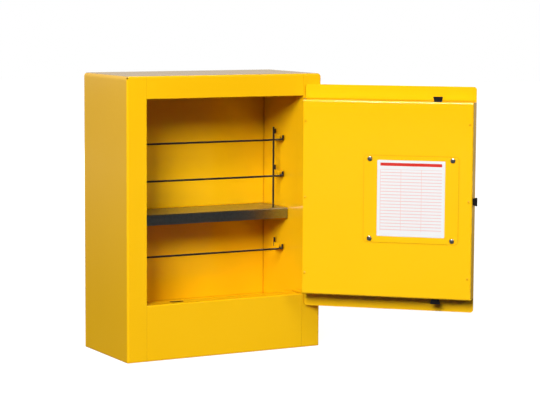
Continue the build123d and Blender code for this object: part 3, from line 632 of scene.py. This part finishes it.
def photo_camera():
    """Camera solved from the cabinet's corners, with no shift."""
    data = bpy.data.cameras.new("photo_camera")
    data.sensor_fit = "HORIZONTAL"
    data.sensor_width = sensor_width
    data.lens = focal_pixels / image_width * sensor_width
    data.clip_end = view_distance
    eye = placed("photo_camera", data)
    ahead = Vector((sin(camera_yaw), cos(camera_yaw), 0)) * cos(camera_pitch) - up * sin(camera_pitch)
    level = Vector((cos(camera_yaw), -sin(camera_yaw), 0))
    above = level.cross(ahead)
    right = cos(camera_roll) * level + sin(camera_roll) * above
    top = cos(camera_roll) * above - sin(camera_roll) * level
    turn = Matrix((right, top, -ahead)).transposed()
    eye.matrix_world = Matrix.Translation(camera_place) @ turn.to_4x4()
    bpy.context.scene.camera = eye


# Studio: the white sweep begins behind the cabinet, and the room in front of it is dim
floor_sweep = (0.4, 4.0)
world_sweep = (-0.10, 0.60)
floor_radius = 12
floor_sides = 96
floor_drop = 0.0005
floor_glow = 0.70
white = (1, 1, 1, 1)
front_aim = (0.1, -0.1, 0.3)


def seen_rays(tree, sweep):
    """1 for camera and see-through rays, the sweep's share for mirrored rays, and 0 for light."""
    path = add_node(tree, "ShaderNodeLightPath")
    mirrored = calc(tree, "MULTIPLY", path.outputs["Is Glossy Ray"], sweep)
    direct = calc(tree, "MAXIMUM", path.outputs["Is Camera Ray"], path.outputs["Is Transmission Ray"])
    return calc(tree, "MAXIMUM", direct, mirrored)


def mixed(tree, share, first, second):
    """Shader between two others by a share."""
    return add_node(tree, "ShaderNodeMixShader", {"Fac": share, 1: first, 2: second}).outputs["Shader"]


def studio_floor():
    """Wide white floor that keeps a soft shadow; in front of the sweep it mirrors dim."""
    made = bpy.data.materials.new("white_floor")
    tree = clear_tree(made)
    place = add_node(tree, "ShaderNodeTexCoord")
    split = add_node(tree, "ShaderNodeSeparateXYZ", {"Vector": place.outputs["Object"]})
    sweep = ranged(tree, split.outputs["Y"], *floor_sweep, 0.01, 0.20)
    matt = add_node(tree, "ShaderNodeBsdfDiffuse", {"Color": (0.05, 0.05, 0.05, 1)})
    pale = add_node(tree, "ShaderNodeBsdfDiffuse", {"Color": (0.80, 0.80, 0.80, 1)})
    glow = add_node(tree, "ShaderNodeEmission", {
        "Color": white, "Strength": ranged(tree, split.outputs["Y"], *floor_sweep, 1.26, 1.48)})
    lit = mixed(tree, floor_glow, pale.outputs["BSDF"], glow.outputs["Emission"])
    seen = mixed(tree, seen_rays(tree, sweep), matt.outputs["BSDF"], lit)
    add_node(tree, "ShaderNodeOutputMaterial", {"Surface": seen})
    shape = bmesh.new()
    bmesh.ops.create_circle(shape, cap_ends=True, radius=floor_radius, segments=floor_sides)
    floor = placed("studio_floor", shape_mesh("studio_floor", shape, made))
    floor.location.z = -floor_drop


def studio_world():
    """White all round to the camera; mirrored rays meet the white sweep behind and above and the dim room
    in front of it, and so does the light."""
    world = bpy.data.worlds.new("studio")
    bpy.context.scene.world = world
    tree = clear_tree(world)
    facing = add_node(tree, "ShaderNodeTexCoord")
    split = add_node(tree, "ShaderNodeSeparateXYZ", {"Vector": facing.outputs["Generated"]})
    sweep = ranged(tree, split.outputs["Y"], *world_sweep, 0, 0.34)
    sky = add_node(tree, "ShaderNodeBackground", {"Color": white})
    room = add_node(tree, "ShaderNodeBackground", {
        "Color": white, "Strength": ranged(tree, split.outputs["Y"], *world_sweep, 0.02, 0.22)})
    seen = mixed(tree, seen_rays(tree, sweep), room.outputs["Background"], sky.outputs["Background"])
    add_node(tree, "ShaderNodeOutputWorld", {"Surface": seen})


def soft_lamp(name, place, aim, size, power, lights=True, gleams=True):
    """Soft box of a width and height that lights faces, gleams in glossy ones or does both."""
    data = bpy.data.lights.new(name, "AREA")
    data.shape = "RECTANGLE"
    data.size, data.size_y = size
    data.energy = power
    lamp = placed(name, data)
    lamp.location = place
    lamp.visible_diffuse = lights
    lamp.visible_glossy = gleams
    lamp.rotation_mode = "QUATERNION"
    lamp.rotation_quaternion = (Vector(aim) - Vector(place)).to_track_quat("-Z", "Y")


photo_camera()
studio_floor()
studio_world()
soft_lamp("key_lamp", (-3.87, -4.29, 3.50), front_aim, (2.4, 2.9), 596, gleams=False)
soft_lamp("key_strip", (-2.80, -3.20, 5.35), front_aim, (2.6, 0.8), 560, lights=False)
soft_lamp("fill_lamp", (2.60, -4.60, 2.90), front_aim, (2.0, 1.6), 86, gleams=False)
soft_lamp("side_lamp", (4.40, 0.90, 0.55), (0.4, -0.3, 0.35), (1.0, 0.7), 175, gleams=False)
soft_lamp("back_lamp", (0.20, 5.00, 0.90), (0, 0, 0.3), (2.0, 1.0), 115, gleams=False)
soft_lamp("overhead_strip", (0.30, 0.25, 2.60), (0.30, 0.25, 0), (1.6, 0.05), 5)
bpy.context.scene.view_settings.view_transform = "Standard"
